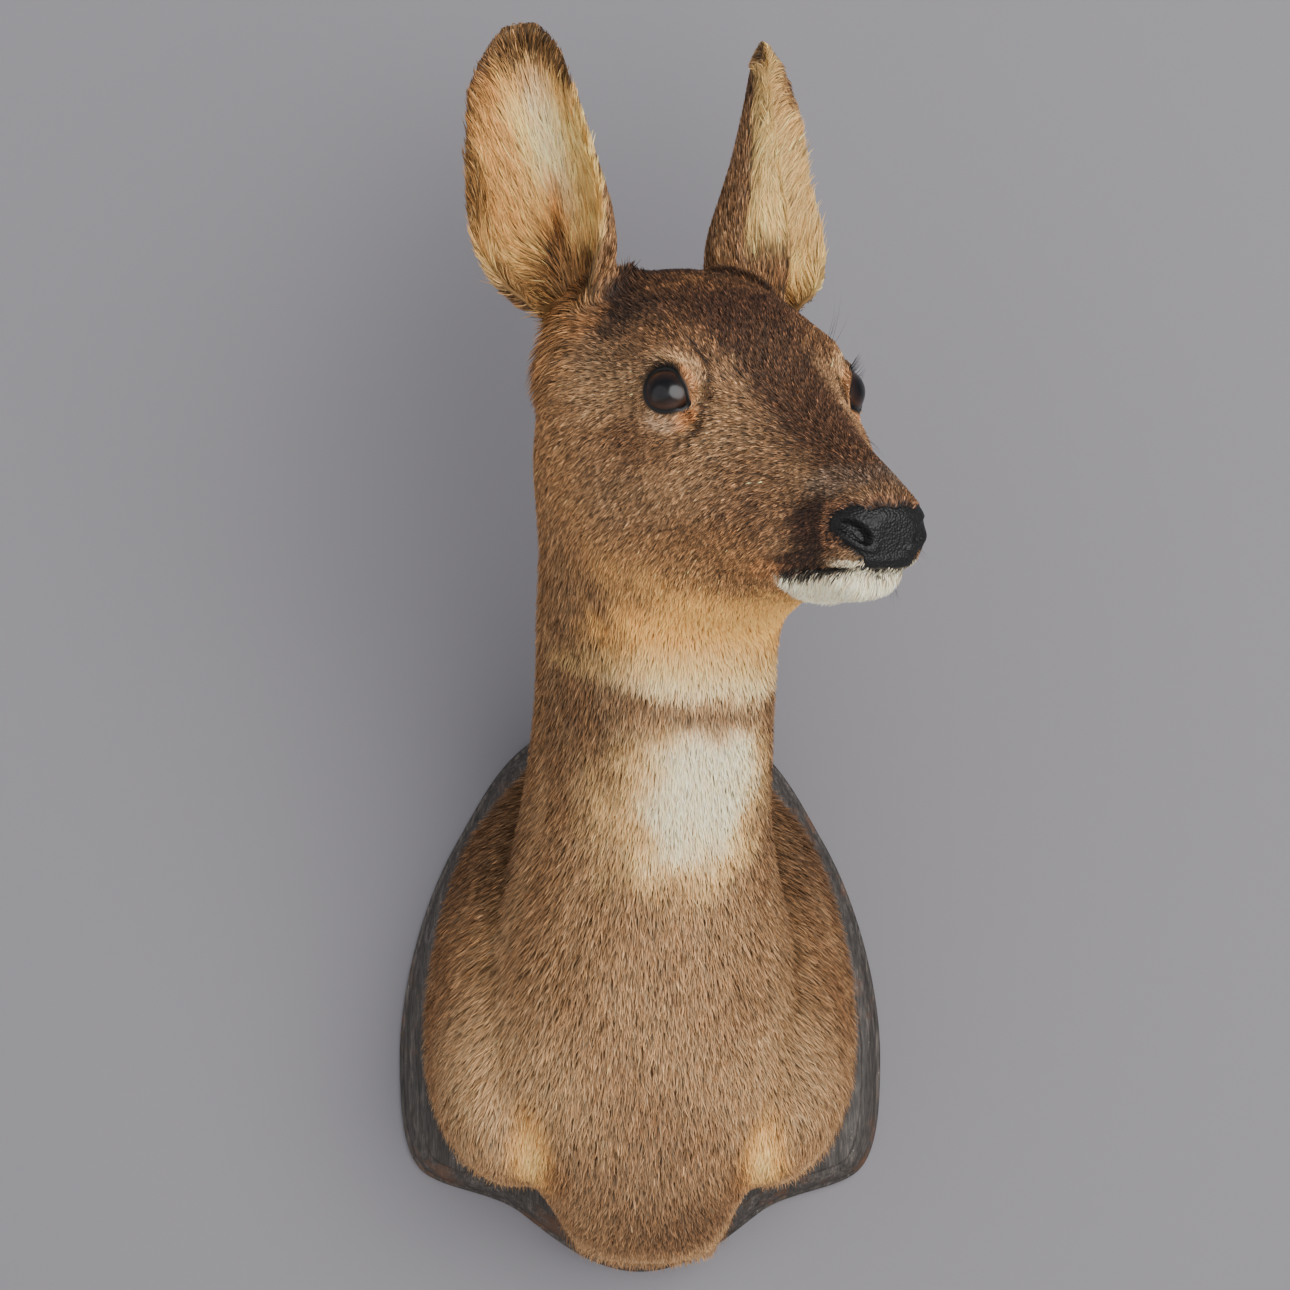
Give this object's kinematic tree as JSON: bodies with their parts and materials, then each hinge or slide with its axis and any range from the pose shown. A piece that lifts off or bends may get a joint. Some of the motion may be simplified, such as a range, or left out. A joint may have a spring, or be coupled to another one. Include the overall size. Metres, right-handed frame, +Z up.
{
  "type": "roe deer shoulder mount",
  "caption": "Head, neck and shoulders of a roe deer doe, mounted on a shaped wooden wall board with the head turned to its left.",
  "frame": {"origin": "middle of the board's flat back, which lies against the wall", "axes": "+Z up, +Y into the wall, +X towards the animal's left, where the head looks"},
  "size_m": [0.2242, 0.3653, 0.5477],
  "materials": {
    "board": "dark stained, worn at the edge",
    "coat": "short ticked brown hair, cream throat and ears, white chin",
    "nose": "black pebbled nose leather, slightly glossy",
    "eye": "dark brown polished glass eye"
  },
  "bodies": {
    "root": {"board": "board", "chest": "coat", "shoulder_left": "coat", "shoulder_right": "coat", "neck_lower": "coat", "neck_upper": "coat", "head": "coat", "muzzle": "coat", "lower_jaw": "coat", "nose_pad": "nose", "ear_left": "coat", "ear_right": "coat", "eye_left": "eye", "eye_right": "eye"}
  },
  "joints": []
}
